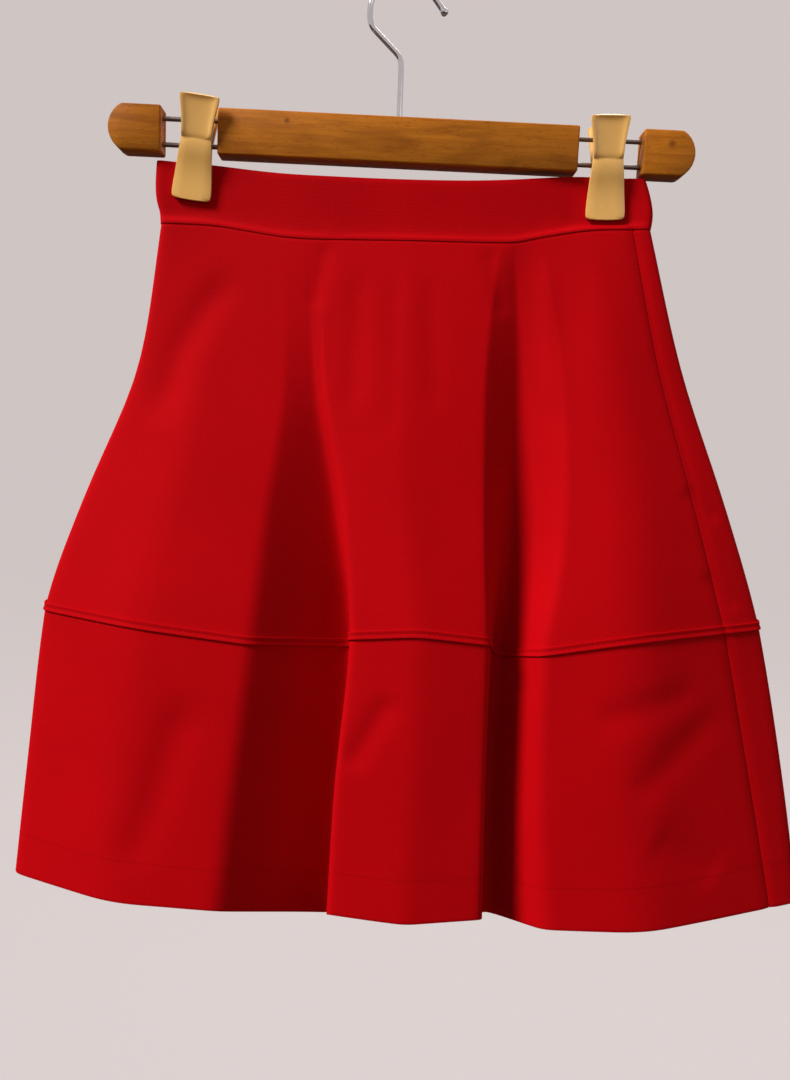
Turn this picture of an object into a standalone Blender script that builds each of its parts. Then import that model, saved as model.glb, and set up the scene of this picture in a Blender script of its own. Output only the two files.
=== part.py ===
"""A flared skirt with a deep hem band, hanging by two clips from a wooden clip hanger.

The skirt hangs in its natural folds. Its front faces -Y, +X is to the viewer's right and +Z is up.
The origin is the inside of the hook's top, where the hook bears on whatever it hangs from.
Sizes are in millimetres and become metres where a point enters a mesh.
"""

import math

import bmesh
import bpy
from mathutils import Matrix, Vector

MM = 0.001

# Cloth
PANEL_WALL = 1.8
WAISTBAND_WALL = 2.4
SEAM_GAP = 0.3
WAISTBAND_STEP = 0.4
RIDGE_WALL = 1.0
# How far right of the hook the skirt hangs
SKIRT_SHIFT = 2.5

# Levels down the cloth: 0 is the waist seam, 1 the hem-band seam and 2 the hem.
LEVELS = (0.0, 0.33, 0.65, 1.0, 1.5, 2.0)
RIDGE_TOP = 0.975
PANEL_ROWS = (0.0, 0.08, 0.17, 0.27, 0.38, 0.5, 0.62, 0.75, 0.87, RIDGE_TOP, 1.0)
BAND_ROWS = (1.0, 1.13, 1.3, 1.48, 1.66, 1.84, 2.0)
PANEL_LENGTH = 255.0
BAND_LENGTH = 185.0

# Waist seam, from left to right: x, half the skirt's depth, height
WAIST = (
    (-152.0, 5.0, -152.3),
    (-121.0, 4.6, -152.2),
    (-93.0, 5.8, -156.3),
    (-62.0, 6.8, -159.0),
    (0.0, 7.8, -157.9),
    (68.0, 7.0, -157.0),
    (95.0, 5.8, -151.5),
    (122.0, 4.6, -146.4),
    (161.0, 5.0, -144.4),
)

# Top edge of the waistband, from left to right: x, half the depth, height
WAISTBAND_TOP = (
    (-156.0, 5.2, -113.7),
    (-141.0, 2.9, -114.5),
    (-116.0, 2.9, -115.8),
    (-95.0, 3.8, -117.9),
    (-62.0, 5.4, -119.9),
    (0.0, 6.4, -120.5),
    (36.0, 6.2, -119.9),
    (66.0, 5.4, -118.1),
    (98.0, 3.8, -115.0),
    (114.0, 2.9, -113.8),
    (144.0, 2.9, -113.9),
    (158.0, 5.2, -113.9),
)

# How far the waistband's ends stand beyond the waist seam: share of its height, left end, right end
WAISTBAND_ENDS = (
    (0.0, 0.0, 0.0),
    (0.22, -0.7, 0.8),
    (0.38, -3.6, 0.7),
    (0.7, -3.8, -1.7),
    (1.0, -2.8, -5.5),
)
WAISTBAND_ROWS = (0.0, 0.04, 0.085, 0.13, 0.22, 0.38, 0.7, 1.0)
WAISTBAND_END_START = 112.0
WAISTBAND_END_LENGTH = 42.0
THIN_TURN = math.radians(4.0)
THIN_RUN = 11.0
GRIP_START = 0.04
GRIP_END = 0.13

FRONT = -1
BACK = 1

# The cloth's outline in plan is a rounded polygon, once round from the left side seam: the left side,
# the front from left to right, the right side, and the back from right to left. A seam lies on the
# straight run between its neighbours, so it has no y and no radius of its own.
# Columns: face of the skirt, then x at each of the six levels.
FOLD_X = {
    "left seam": (BACK, -140, -151, -177, -203, -214, -226),
    "left side back": (BACK, -152, -164.4, -198.4, -226.6, -238.3, -248.5),
    "left side front": (FRONT, -152, -164.4, -198.4, -226.6, -238.3, -248.5),
    "left crest": (FRONT, -118, -122, -140, -160, -167, -174),
    "left shoulder": (FRONT, -74, -69, -79, -86, -95, -103),
    "left valley": (FRONT, -58, -51, -31, -20.5, -27.2, -30),
    "middle left edge": (FRONT, -47.5, -45.5, -32.5, -23.9, -30.9, -33.4),
    "middle crest": (FRONT, 4, 2, 10, 20, 19, 18),
    "middle right edge": (FRONT, 64.5, 57.4, 60.1, 65.4, 67.1, 68.6),
    "right valley": (FRONT, 73, 81, 80, 73.5, 70.5, 73),
    "right shoulder": (FRONT, 90, 108, 112, 99, 100.5, 108.5),
    "right crest": (FRONT, 120, 137, 153, 159, 167, 176),
    "right seam": (FRONT, 148.5, 169.5, 196.5, 222.5, 246.5, 268.5),
    "right side front": (FRONT, 160.7, 186.4, 220.7, 251, 274.7, 293),
    "right side back": (BACK, 160.7, 186.4, 220.7, 251, 274.7, 293),
    "right back crest": (BACK, 124, 142, 166, 190, 205, 218),
    "right back shoulder": (BACK, 98, 108, 121, 138, 146, 152),
    "right back valley": (BACK, 86, 94, 100, 108, 113, 118),
    "middle back right edge": (BACK, 74, 80, 84, 88, 90, 92),
    "middle back right crest": (BACK, 36, 36, 38, 42, 44, 46),
    "middle back dip": (BACK, 0, 0, 0, 1, 2, 3),
    "middle back left crest": (BACK, -34, -38, -42, -46, -50, -54),
    "middle back left edge": (BACK, -64, -70, -76, -82, -86, -90),
    "left back valley": (BACK, -80, -85, -93, -102, -108, -114),
    "left back shoulder": (BACK, -94, -102, -118, -134, -142, -150),
}

# Columns: y at the five levels below the waist seam, where the waist's own half depth holds.
FOLD_Y = {
    "left side back": (7, 9, 11, 12, 13),
    "left side front": (-7, -9, -11, -12, -13),
    "left crest": (-15, -25, -34, -38, -41),
    "left shoulder": (-17, -28, -39, -43, -46),
    "left valley": (-14, -6, 2, 4, 4),
    "middle left edge": (-17.5, -29, -40, -44, -47),
    "middle crest": (-21, -33, -44.5, -49, -52),
    "middle right edge": (-17, -28, -39, -43, -46),
    "right valley": (-3, 1, 5, 5, 0),
    "right shoulder": (-16, -27, -38, -42, -45),
    "right crest": (-19, -30, -40, -44, -46),
    "right side front": (-6, -8, -9, -10, -11),
    "right side back": (7, 8, 10, 11, 12),
    "right back crest": (16, 26, 36, 40, 43),
    "right back shoulder": (17, 28, 39, 43, 46),
    "right back valley": (11, 9, 8, 8, 9),
    "middle back right edge": (17, 28, 40, 44, 47),
    "middle back right crest": (20, 32, 43, 47, 50),
    "middle back dip": (17, 27, 36, 39, 40),
    "middle back left crest": (20, 31, 42, 46, 49),
    "middle back left edge": (17, 28, 39, 43, 46),
    "left back valley": (12, 9, 8, 8, 9),
    "left back shoulder": (17, 27, 38, 42, 45),
}

# Columns: height at the hem-band seam and at the hem; bend radius at the waist seam, the hem-band
# seam and the hem; pieces in the bend; pieces in the straight run after it.
FOLD_FORM = {
    "left seam": (-404, -585, 0, 0, 0, 0, 1),
    "left side back": (-402.5, -584.5, 5, 9, 11, 3, 1),
    "left side front": (-402.5, -584.5, 5, 9, 11, 3, 3),
    "left crest": (-408, -589, 60, 120, 130, 4, 2),
    "left shoulder": (-415, -590, 20, 22, 24, 4, 3),
    "left valley": (-424, -616.5, 14, 7, 7, 3, 2),
    "middle left edge": (-409.5, -589.5, 14, 6, 6, 4, 3),
    "middle crest": (-405.5, -592.8, 60, 70, 70, 4, 3),
    "middle right edge": (-410.5, -591, 12, 6, 7, 4, 2),
    "right valley": (-428, -609, 8, 7.5, 8, 3, 2),
    "right shoulder": (-417, -597.5, 14, 13, 18, 4, 3),
    "right crest": (-406, -597.2, 60, 100, 120, 4, 3),
    "right seam": (-402, -594, 0, 0, 0, 0, 1),
    "right side front": (-401, -591.5, 5, 9, 11, 3, 1),
    "right side back": (-401, -591.5, 5, 10, 12, 3, 3),
    "right back crest": (-406, -590, 60, 60, 70, 4, 2),
    "right back shoulder": (-412, -592, 14, 14, 16, 4, 2),
    "right back valley": (-425, -604, 8, 6, 7, 3, 2),
    "middle back right edge": (-412, -593, 12, 8, 9, 4, 2),
    "middle back right crest": (-409, -594, 40, 40, 45, 3, 1),
    "middle back dip": (-415, -600, 25, 25, 28, 3, 1),
    "middle back left crest": (-410, -594, 30, 30, 34, 3, 1),
    "middle back left edge": (-412, -593, 12, 9, 10, 4, 2),
    "left back valley": (-426, -604, 8, 6, 7, 3, 2),
    "left back shoulder": (-412, -591, 14, 14, 16, 4, 3),
}
FOLDS = tuple(FOLD_X)
BEND_LIMIT = math.radians(150.0)
RUN_SHARE = 0.46

# Side zip, inside the right seam
ZIP_ROWS = (0.02, 0.1, 0.2, 0.3, 0.4, 0.5, 0.6, 0.66)
ZIP_FRONT_REACH = 9.0
ZIP_BACK_REACH = 4.0
ZIP_WALL = 0.9
SLIDER_SIZE = (6.0, 2.2, 9.0)

# Hanger, which leans a little so that its right end is the lower one
HANGER_LEAN = math.radians(0.5)
BAR_LENGTH = 226.4
BAR_HEIGHT = 28.0
BAR_DEPTH = 15.6
BAR_TOP = -83.0
# End blocks: name, side, distance from the hook to the outer tip
END_BLOCKS = (("left", -1, 181.5), ("right", 1, 187.0))
BLOCK_LENGTH = 33.0
BLOCK_END_BOW = 8.5
BLOCK_END_PIECES = 10
WOOD_EDGE = 1.2
ROD_RADIUS = 1.5
ROD_SPACING = 15.6
ROD_SEAT = 8.0
ROD_SIDES = 12
CLEARANCE = 0.3

# Hook
WIRE_RADIUS = 2.0
LOOP_RADIUS = 20.5
LOOP_END = math.radians(39.0)
LOOP_PIECES = 22
TAIL_LENGTH = 17.0
NECK_LOW = -46.1
NECK_HIGH = -27.0
NECK_BEND = 5.0
NECK_PIECES = 5
STEM_SEAT = 15.0
TIP_FORM = ((-3.4, 1.0), (-2.6, 1.3), (-1.2, 1.45), (0.2, 1.25), (0.9, 0.75))

# Clip lever, from its top down: height, half width, y of the outer face
LEVER = (
    (-78.4, 12.0, -13.0),
    (-80.2, 12.2, -12.8),
    (-84.5, 11.5, -12.2),
    (-90.0, 10.4, -11.5),
    (-96.0, 9.7, -10.8),
    (-101.4, 9.4, -10.2),
    (-102.8, 9.4, -9.5),
    (-104.2, 9.5, -9.8),
    (-110.5, 10.2, -9.3),
    (-117.0, 10.9, -7.6),
    (-123.5, 11.5, -6.6),
    (-130.0, 12.1, -6.1),
    (-137.4, 12.5, -5.9),
    (-139.3, 11.2, -5.8),
)
REAR_LEVER_WIDTH = 0.7
LEVER_WALL = 2.3
LEVER_RIM = 1.0
LEVER_COLUMNS = (-1.0, -0.82, -0.7, -0.25, 0.25, 0.7, 0.82, 1.0)
LEVER_RIM_EDGE = 0.8
LEVER_RIM_TOP = -79.3
LEVER_RIM_END = -101.6
CORE_SIZE = (13.0, 13.2, 24.0)
CORE_BORE = 2.5
# Clips: name, distance from the hook, lean to the viewer's right
CLIPS = (("left", -125.2, math.radians(6.0)), ("right", 131.4, math.radians(-2.2)))

# Finishes: sRGB colour, roughness, metallic value
RED_CLOTH = ("red_cloth", (0.72, 0.03, 0.07), 0.85, 0.0)
RED_ZIP = ("red_zip", (0.55, 0.03, 0.06), 0.7, 0.0)
HONEY_WOOD = ("honey_wood", (0.66, 0.40, 0.17), 0.4, 0.0)
STEEL_ROD = ("steel_rod", (0.55, 0.53, 0.52), 0.35, 1.0)
CHROME_WIRE = ("chrome_wire", (0.85, 0.85, 0.86), 0.12, 1.0)
CREAM_PLASTIC = ("cream_plastic", (0.87, 0.72, 0.45), 0.3, 0.0)


def clear_scene():
    """Removes every object that the file opened with."""
    for thing in list(bpy.data.objects):
        bpy.data.objects.remove(thing, do_unlink=True)


def make_collection(name):
    """A collection in the scene, for the object's parts or for its cutters."""
    collection = bpy.data.collections.new(name)
    bpy.context.scene.collection.children.link(collection)
    return collection


def make_material(name, colour, roughness, metallic):
    """A plain Principled material with an sRGB colour."""
    material = bpy.data.materials.new(name)
    material.use_nodes = True
    shader = material.node_tree.nodes["Principled BSDF"]
    linear = [channel ** 2.2 for channel in colour]
    shader.inputs["Base Color"].default_value = (*linear, 1.0)
    shader.inputs["Roughness"].default_value = roughness
    shader.inputs["Metallic"].default_value = metallic
    return material


def column(table, index):
    """One column of a table, as a list."""
    return [row[index] for row in table]


def smooth_value(stations, values, at):
    """A smooth curve through the values that never overshoots them (monotone cubic)."""
    if at <= stations[0]:
        return values[0]
    if at >= stations[-1]:
        return values[-1]
    spans = [b - a for a, b in zip(stations, stations[1:])]
    slopes = [(b - a) / span for a, b, span in zip(values, values[1:], spans)]
    tangents = [slopes[0]]
    for before, after in zip(slopes, slopes[1:]):
        product = before * after
        tangents.append(2.0 * product / (before + after) if product > 0.0 else 0.0)
    tangents.append(slopes[-1])
    index = max(i for i, station in enumerate(stations[:-1]) if station <= at)
    span = spans[index]
    t = (at - stations[index]) / span
    start = values[index] * (1.0 + 2.0 * t) * (1.0 - t) ** 2
    end = values[index + 1] * t * t * (3.0 - 2.0 * t)
    leaving = tangents[index] * span * t * (1.0 - t) ** 2
    arriving = tangents[index + 1] * span * t * t * (1.0 - t)
    return start + end + leaving - arriving


def waist_half_depth(x):
    """Half the skirt's depth at the waist seam."""
    return smooth_value(column(WAIST, 0), column(WAIST, 1), x)


def waist_height(x):
    """Height of the waist seam."""
    return smooth_value(column(WAIST, 0), column(WAIST, 2), x)


def fold_corner(name, level):
    """The corner of one fold at a level. A seam's y is set later, from its neighbours."""
    face, *xs = FOLD_X[name]
    seam_height, hem_height = FOLD_FORM[name][:2]
    x = smooth_value(LEVELS, xs, level)
    z = smooth_value((0.0, 1.0, 2.0), (waist_height(xs[0]), seam_height, hem_height), level)
    y = 0.0
    if name in FOLD_Y:
        y = smooth_value(LEVELS, (face * waist_half_depth(xs[0]), *FOLD_Y[name]), level)
    return Vector((x, y, z))


def bend_points(before, here, after, radius, pieces):
    """A corner rounded to a radius, as points from the end of one run to the start of the next."""
    if pieces == 0:
        return [here.copy()]
    way_in = here - before
    way_out = after - here
    turn = min(way_in.xy.angle(way_out.xy), BEND_LIMIT)
    reach = radius * math.tan(turn / 2.0)
    reach = min(reach, RUN_SHARE * way_in.length, RUN_SHARE * way_out.length)
    reach = max(reach, radius * 0.1)
    start = here - way_in.normalized() * reach
    end = here + way_out.normalized() * reach
    points = []
    for step in range(pieces + 1):
        t = step / pieces
        points.append(start * (1.0 - t) ** 2 + here * 2.0 * t * (1.0 - t) + end * t * t)
    return points


def plan_outline(level):
    """The cloth's outer face at one level, once round from the left seam, and its seams' indices."""
    corners = [fold_corner(name, level) for name in FOLDS]
    count = len(FOLDS)
    for i, name in enumerate(FOLDS):
        if name not in FOLD_Y:
            before = corners[i - 1]
            after = corners[(i + 1) % count]
            share = (corners[i].x - before.x) / (after.x - before.x)
            corners[i] = before.lerp(after, share)
    bends = []
    for i, name in enumerate(FOLDS):
        radius = smooth_value((0.0, 1.0, 2.0), FOLD_FORM[name][2:5], level)
        pieces = FOLD_FORM[name][5]
        bends.append(bend_points(corners[i - 1], corners[i], corners[(i + 1) % count], radius, pieces))
    points = []
    seams = []
    for i, name in enumerate(FOLDS):
        if name not in FOLD_Y:
            seams.append(len(points))
        points.extend(bends[i])
        runs = FOLD_FORM[name][6]
        start = bends[i][-1]
        end = bends[(i + 1) % count][0]
        points.extend(start.lerp(end, step / runs) for step in range(1, runs))
    return points, seams


def outward(points, index):
    """The step out of a closed outline in plan that moves both runs at a point out by 1."""
    here = points[index]
    way_in = (here - points[index - 1]).xy.normalized()
    way_out = (points[(index + 1) % len(points)] - here).xy.normalized()
    along = (way_in + way_out).normalized()
    return Vector((along.y, -along.x, 0.0)) / along.dot(way_in)


def moved_out(points, distance):
    """A closed outline moved out in plan by a distance."""
    return [point + outward(points, i) * distance for i, point in enumerate(points)]


def half_outline(points, seams, face):
    """The front or the back half of an outline, half a seam gap short of each seam."""
    left, right = seams
    half = points[left:right + 1] if face == FRONT else points[right:] + points[:left + 1]
    half = [point.copy() for point in half]
    half[0] += (half[1] - half[0]).normalized() * SEAM_GAP / 2.0
    half[-1] += (half[-2] - half[-1]).normalized() * SEAM_GAP / 2.0
    return half


def make_sheet(name, rows, wall, material, parts, closed=False):
    """A cloth wall: rows of points from top to bottom as an open face, thickened inwards."""
    mesh = bpy.data.meshes.new(name)
    bm = bmesh.new()
    if closed:
        rows = [row + row[:1] for row in rows]
    bmesh.ops.create_grid(bm, x_segments=len(rows[0]) - 1, y_segments=len(rows) - 1, size=1.0)
    bm.verts.ensure_lookup_table()
    places = [point for row in reversed(rows) for point in row]
    for vert, place in zip(bm.verts, places):
        vert.co = place * MM
    if closed:
        bmesh.ops.remove_doubles(bm, verts=bm.verts, dist=0.00001)
    bm.normal_update()
    bm.to_mesh(mesh)
    bm.free()
    mesh.materials.append(material)
    mesh.shade_smooth()
    sheet = bpy.data.objects.new(name, mesh)
    parts.objects.link(sheet)
    solid = sheet.modifiers.new("wall", "SOLIDIFY")
    solid.thickness = wall * MM
    solid.offset = -1.0
    solid.use_even_offset = True
    solid.use_quality_normals = True
    return sheet


def shifted_levels(rows, gap_at_top, gap_at_bottom):
    """Rows of levels with the first and last moved in by half a seam gap where they meet a seam."""
    levels = list(rows)
    length = PANEL_LENGTH if rows[-1] <= 1.0 else BAND_LENGTH
    step = SEAM_GAP / 2.0 / length
    if gap_at_top:
        levels[0] += step
    if gap_at_bottom:
        levels[-1] -= step
    return levels


def make_panels(material, parts):
    """The front and back panels, from the waistband to the hem band."""
    outlines = [plan_outline(level) for level in shifted_levels(PANEL_ROWS, True, True)]
    for name, face in (("front_panel", FRONT), ("back_panel", BACK)):
        rows = [half_outline(points, seams, face) for points, seams in outlines]
        make_sheet(name, rows, PANEL_WALL, material, parts)


def make_hem_bands(material, parts):
    """The front and back hem bands, from the low seam to the hem."""
    outlines = [plan_outline(level) for level in shifted_levels(BAND_ROWS, True, False)]
    for name, face in (("front_hem_band", FRONT), ("back_hem_band", BACK)):
        rows = [half_outline(points, seams, face) for points, seams in outlines]
        make_sheet(name, rows, PANEL_WALL, material, parts)


def make_seam_ridges(material, parts):
    """The folded, topstitched seam allowances that stand proud just above the hem bands."""
    outlines = [plan_outline(level) for level in (RIDGE_TOP, 1.0)]
    for name, face in (("front_seam_ridge", FRONT), ("back_seam_ridge", BACK)):
        rows = []
        for points, seams in outlines:
            proud = moved_out(points, SEAM_GAP + RIDGE_WALL)
            rows.append(half_outline(proud, seams, face))
        make_sheet(name, rows, RIDGE_WALL, material, parts)


def thinned(points):
    """A closed outline with the points left out that add less than a slight turn or a short run."""
    kept = [points[0]]
    for i in range(1, len(points) - 1):
        run = points[i] - kept[-1]
        turn = run.xy.angle((points[i + 1] - points[i]).xy)
        if turn > THIN_TURN or (points[i + 1] - kept[-1]).length > THIN_RUN:
            kept.append(points[i])
    return kept + [points[-1]]


def waistband_row(base, share):
    """The waistband's outer face at a share of its height above the waist seam."""
    ends_left = smooth_value(column(WAISTBAND_ENDS, 0), column(WAISTBAND_ENDS, 1), share)
    ends_right = smooth_value(column(WAISTBAND_ENDS, 0), column(WAISTBAND_ENDS, 2), share)
    grip = min(max((share - GRIP_START) / (GRIP_END - GRIP_START), 0.0), 1.0)
    grip = grip * grip * (3.0 - 2.0 * grip)
    row = []
    for point in base:
        top_depth = smooth_value(column(WAISTBAND_TOP, 0), column(WAISTBAND_TOP, 1), point.x)
        top_height = smooth_value(column(WAISTBAND_TOP, 0), column(WAISTBAND_TOP, 2), point.x)
        pinch = top_depth / (waist_half_depth(point.x) + WAISTBAND_STEP)
        out = min(max(abs(point.x) - WAISTBAND_END_START, 0.0) / WAISTBAND_END_LENGTH, 1.0)
        shift = ends_left if point.x < 0.0 else ends_right
        x = point.x + shift * out * out
        y = point.y * (1.0 + (pinch - 1.0) * grip)
        bottom = point.z + SEAM_GAP / 2.0
        row.append(Vector((x, y, bottom + (top_height - bottom) * share)))
    return row


def make_waistband(material, parts):
    """The waistband, one folded band all round."""
    points, _ = plan_outline(0.0)
    base = moved_out(thinned(points), WAISTBAND_STEP)
    rows = [waistband_row(base, share) for share in reversed(WAISTBAND_ROWS)]
    make_sheet("waistband", rows, WAISTBAND_WALL, material, parts, closed=True)


def seam_strip(level, reach_front, reach_back, inset):
    """Three points across the right seam at a level, set in from the cloth's outer face."""
    points, seams = plan_outline(level)
    seam = points[seams[1]]
    front = points[seams[1] - 1]
    back = points[seams[1] + 1]
    inwards = -outward(points, seams[1])
    across = (
        seam + (front - seam).normalized() * reach_front,
        seam,
        seam + (back - seam).normalized() * reach_back,
    )
    return [point + inwards * inset for point in across]


def make_zip(cloth, metal, parts):
    """The concealed zip inside the right seam: its tape and teeth as one strip, and its slider."""
    inset = PANEL_WALL + SEAM_GAP
    rows = [seam_strip(level, ZIP_FRONT_REACH, ZIP_BACK_REACH, inset) for level in ZIP_ROWS]
    make_sheet("side_zip", rows, ZIP_WALL, cloth, parts)
    seam = rows[0][1].lerp(rows[1][1], 0.35)
    turn = math.atan2(rows[0][2].y - rows[0][0].y, rows[0][2].x - rows[0][0].x)
    inwards = Vector((-math.sin(turn), math.cos(turn), 0.0))
    place = seam + inwards * (ZIP_WALL + SEAM_GAP + SLIDER_SIZE[1] / 2.0)
    slider = make_block("zip_slider", SLIDER_SIZE, place, metal, parts, edge=0.6)
    slider.rotation_euler.z = turn


def make_block(name, size, place, material, parts, edge):
    """A box with softened edges."""
    mesh = bpy.data.meshes.new(name)
    bm = bmesh.new()
    bmesh.ops.create_cube(bm, size=1.0)
    bmesh.ops.scale(bm, vec=Vector(size) * MM, verts=bm.verts)
    bm.to_mesh(mesh)
    bm.free()
    mesh.materials.append(material)
    block = bpy.data.objects.new(name, mesh)
    block.location = place * MM
    parts.objects.link(block)
    soften(block, edge)
    return block


def soften(thing, edge):
    """Rounds an object's edges."""
    bevel = thing.modifiers.new("soft edges", "BEVEL")
    bevel.width = edge * MM
    bevel.segments = 2
    bevel.limit_method = "ANGLE"


def make_rod(name, start, end, radius, material, parts):
    """A straight rod between two points."""
    mesh = bpy.data.meshes.new(name)
    bm = bmesh.new()
    bmesh.ops.create_cone(
        bm,
        cap_ends=True,
        segments=ROD_SIDES,
        radius1=radius * MM,
        radius2=radius * MM,
        depth=(end - start).length * MM,
    )
    bm.to_mesh(mesh)
    bm.free()
    mesh.materials.append(material)
    mesh.shade_smooth()
    mesh.set_sharp_from_angle(angle=math.radians(40.0))
    rod = bpy.data.objects.new(name, mesh)
    rod.location = (start + end) / 2.0 * MM
    rod.rotation_euler = (end - start).to_track_quat("Z", "Y").to_euler()
    parts.objects.link(rod)
    return rod


def bore(thing, start, end, radius, cutters, parent=None):
    """Cuts a round hole between two points into an object."""
    cutter = make_rod(thing.name + "_cutter", start, end, radius, thing.data.materials[0], cutters)
    cutter.hide_render = True
    cutter.display_type = "WIRE"
    cutter.parent = parent
    cut = thing.modifiers.new("bore", "BOOLEAN")
    cut.operation = "DIFFERENCE"
    cut.solver = "EXACT"
    cut.object = cutter


def rod_heights():
    """Heights of the upper and the lower rod."""
    middle = BAR_TOP - BAR_HEIGHT / 2.0
    return middle + ROD_SPACING / 2.0, middle - ROD_SPACING / 2.0


def block_outline(tip):
    """An end block on the right, seen from the front: square inside, bowed at its outer tip."""
    inner = tip - BLOCK_LENGTH
    half = BAR_HEIGHT / 2.0
    radius = (half * half + BLOCK_END_BOW * BLOCK_END_BOW) / (2.0 * BLOCK_END_BOW)
    sweep = math.asin(half / radius)
    outline = [(inner, -half), (inner, half)]
    for step in range(BLOCK_END_PIECES + 1):
        angle = sweep * (1.0 - 2.0 * step / BLOCK_END_PIECES)
        outline.append((tip - radius + radius * math.cos(angle), radius * math.sin(angle)))
    return outline


def make_end_block(name, side, tip, material, parts, cutters):
    """A wooden end block with blind holes for the two rods."""
    curve = bpy.data.curves.new(name, "CURVE")
    curve.dimensions = "2D"
    curve.fill_mode = "BOTH"
    curve.extrude = (BAR_DEPTH / 2.0) * MM
    outline = block_outline(tip)
    spline = curve.splines.new("POLY")
    spline.points.add(len(outline) - 1)
    for point, (x, z) in zip(spline.points, outline):
        point.co = (x * MM, z * MM, 0.0, 1.0)
    spline.use_cyclic_u = True
    flat = bpy.data.objects.new(name + "_outline", curve)
    cutters.objects.link(flat)
    bpy.context.view_layer.update()
    mesh = bpy.data.meshes.new_from_object(flat.evaluated_get(bpy.context.evaluated_depsgraph_get()))
    bpy.data.objects.remove(flat, do_unlink=True)
    bm = bmesh.new()
    bm.from_mesh(mesh)
    bmesh.ops.remove_doubles(bm, verts=bm.verts, dist=0.00001)
    middle = (BAR_TOP - BAR_HEIGHT / 2.0) * MM
    stand_up = Matrix.Rotation(math.radians(90.0), 4, "X")
    bmesh.ops.transform(bm, matrix=Matrix.Translation((0.0, 0.0, middle)) @ stand_up, verts=bm.verts)
    if side < 0:
        bmesh.ops.scale(bm, vec=(-1.0, 1.0, 1.0), verts=bm.verts)
    bmesh.ops.dissolve_limit(bm, angle_limit=math.radians(1.0), verts=bm.verts, edges=bm.edges)
    bmesh.ops.recalc_face_normals(bm, faces=bm.faces)
    bm.to_mesh(mesh)
    bm.free()
    mesh.name = name
    mesh.materials.clear()
    mesh.materials.append(material)
    block = bpy.data.objects.new(name, mesh)
    parts.objects.link(block)
    soften(block, WOOD_EDGE)
    inner = tip - BLOCK_LENGTH
    for height in rod_heights():
        start = Vector((side * (inner - 1.0), 0.0, height))
        end = Vector((side * (inner + ROD_SEAT + CLEARANCE), 0.0, height))
        bore(block, start, end, ROD_RADIUS + CLEARANCE, cutters)


def make_bar(material, parts, cutters):
    """The wooden centre bar, with blind holes for the rods and the hook's stem."""
    place = Vector((0.0, 0.0, BAR_TOP - BAR_HEIGHT / 2.0))
    bar = make_block("hanger_bar", (BAR_LENGTH, BAR_DEPTH, BAR_HEIGHT), place, material, parts, WOOD_EDGE)
    half = BAR_LENGTH / 2.0
    for side in (-1, 1):
        for height in rod_heights():
            start = Vector((side * (half + 1.0), 0.0, height))
            end = Vector((side * (half - ROD_SEAT - CLEARANCE), 0.0, height))
            bore(bar, start, end, ROD_RADIUS + CLEARANCE, cutters)
    top = Vector((0.0, 0.0, BAR_TOP + 1.0))
    bottom = Vector((0.0, 0.0, BAR_TOP - STEM_SEAT - CLEARANCE))
    bore(bar, top, bottom, WIRE_RADIUS + CLEARANCE, cutters)


def make_rods(material, parts):
    """The four steel rods between the bar and the end blocks."""
    inner = BAR_LENGTH / 2.0 - ROD_SEAT
    for side_name, side, tip in END_BLOCKS:
        outer = tip - BLOCK_LENGTH + ROD_SEAT
        for row_name, height in zip(("upper", "lower"), rod_heights()):
            start = Vector((side * inner, 0.0, height))
            end = Vector((side * outer, 0.0, height))
            make_rod(f"rod_{side_name}_{row_name}", start, end, ROD_RADIUS, material, parts)


def hook_route():
    """The hook wire's middle line as points with a thickness: stem, neck, loop and ball tip."""
    neck_low = Vector((0.0, 0.0, NECK_LOW))
    neck_high = Vector((-LOOP_RADIUS, 0.0, NECK_HIGH))
    centre = Vector((0.0, 0.0, WIRE_RADIUS - LOOP_RADIUS))
    stem = Vector((0.0, 0.0, BAR_TOP - STEM_SEAT))
    loop_start = centre + Vector((-LOOP_RADIUS, 0.0, 0.0))
    route = [stem, stem.lerp(neck_low, 0.5)]
    for before, here, after in ((stem, neck_low, neck_high), (neck_low, neck_high, loop_start)):
        way_in = (here - before).normalized()
        way_out = (after - here).normalized()
        for step in range(NECK_PIECES + 1):
            t = step / NECK_PIECES
            start = here - way_in * NECK_BEND
            end = here + way_out * NECK_BEND
            route.append(start * (1.0 - t) ** 2 + here * 2.0 * t * (1.0 - t) + end * t * t)
    for step in range(LOOP_PIECES + 1):
        angle = math.pi + (LOOP_END - math.pi) * step / LOOP_PIECES
        route.append(centre + Vector((math.cos(angle), 0.0, math.sin(angle))) * LOOP_RADIUS)
    tail = Vector((math.sin(LOOP_END), 0.0, -math.cos(LOOP_END)))
    end = route[-1]
    points = [(point, 1.0) for point in route]
    points += [(end + tail * (TAIL_LENGTH + along), swell) for along, swell in TIP_FORM]
    return points


def make_hook(material, parts):
    """The chrome wire hook, with its tip swollen to a ball."""
    curve = bpy.data.curves.new("hook", "CURVE")
    curve.dimensions = "3D"
    curve.bevel_depth = WIRE_RADIUS * MM
    curve.bevel_resolution = 2
    curve.use_fill_caps = True
    points = hook_route()
    spline = curve.splines.new("POLY")
    spline.points.add(len(points) - 1)
    for point, (place, swell) in zip(spline.points, points):
        point.co = (*(place * MM), 1.0)
        point.radius = swell
    curve.materials.append(material)
    parts.objects.link(bpy.data.objects.new("hook", curve))


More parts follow.
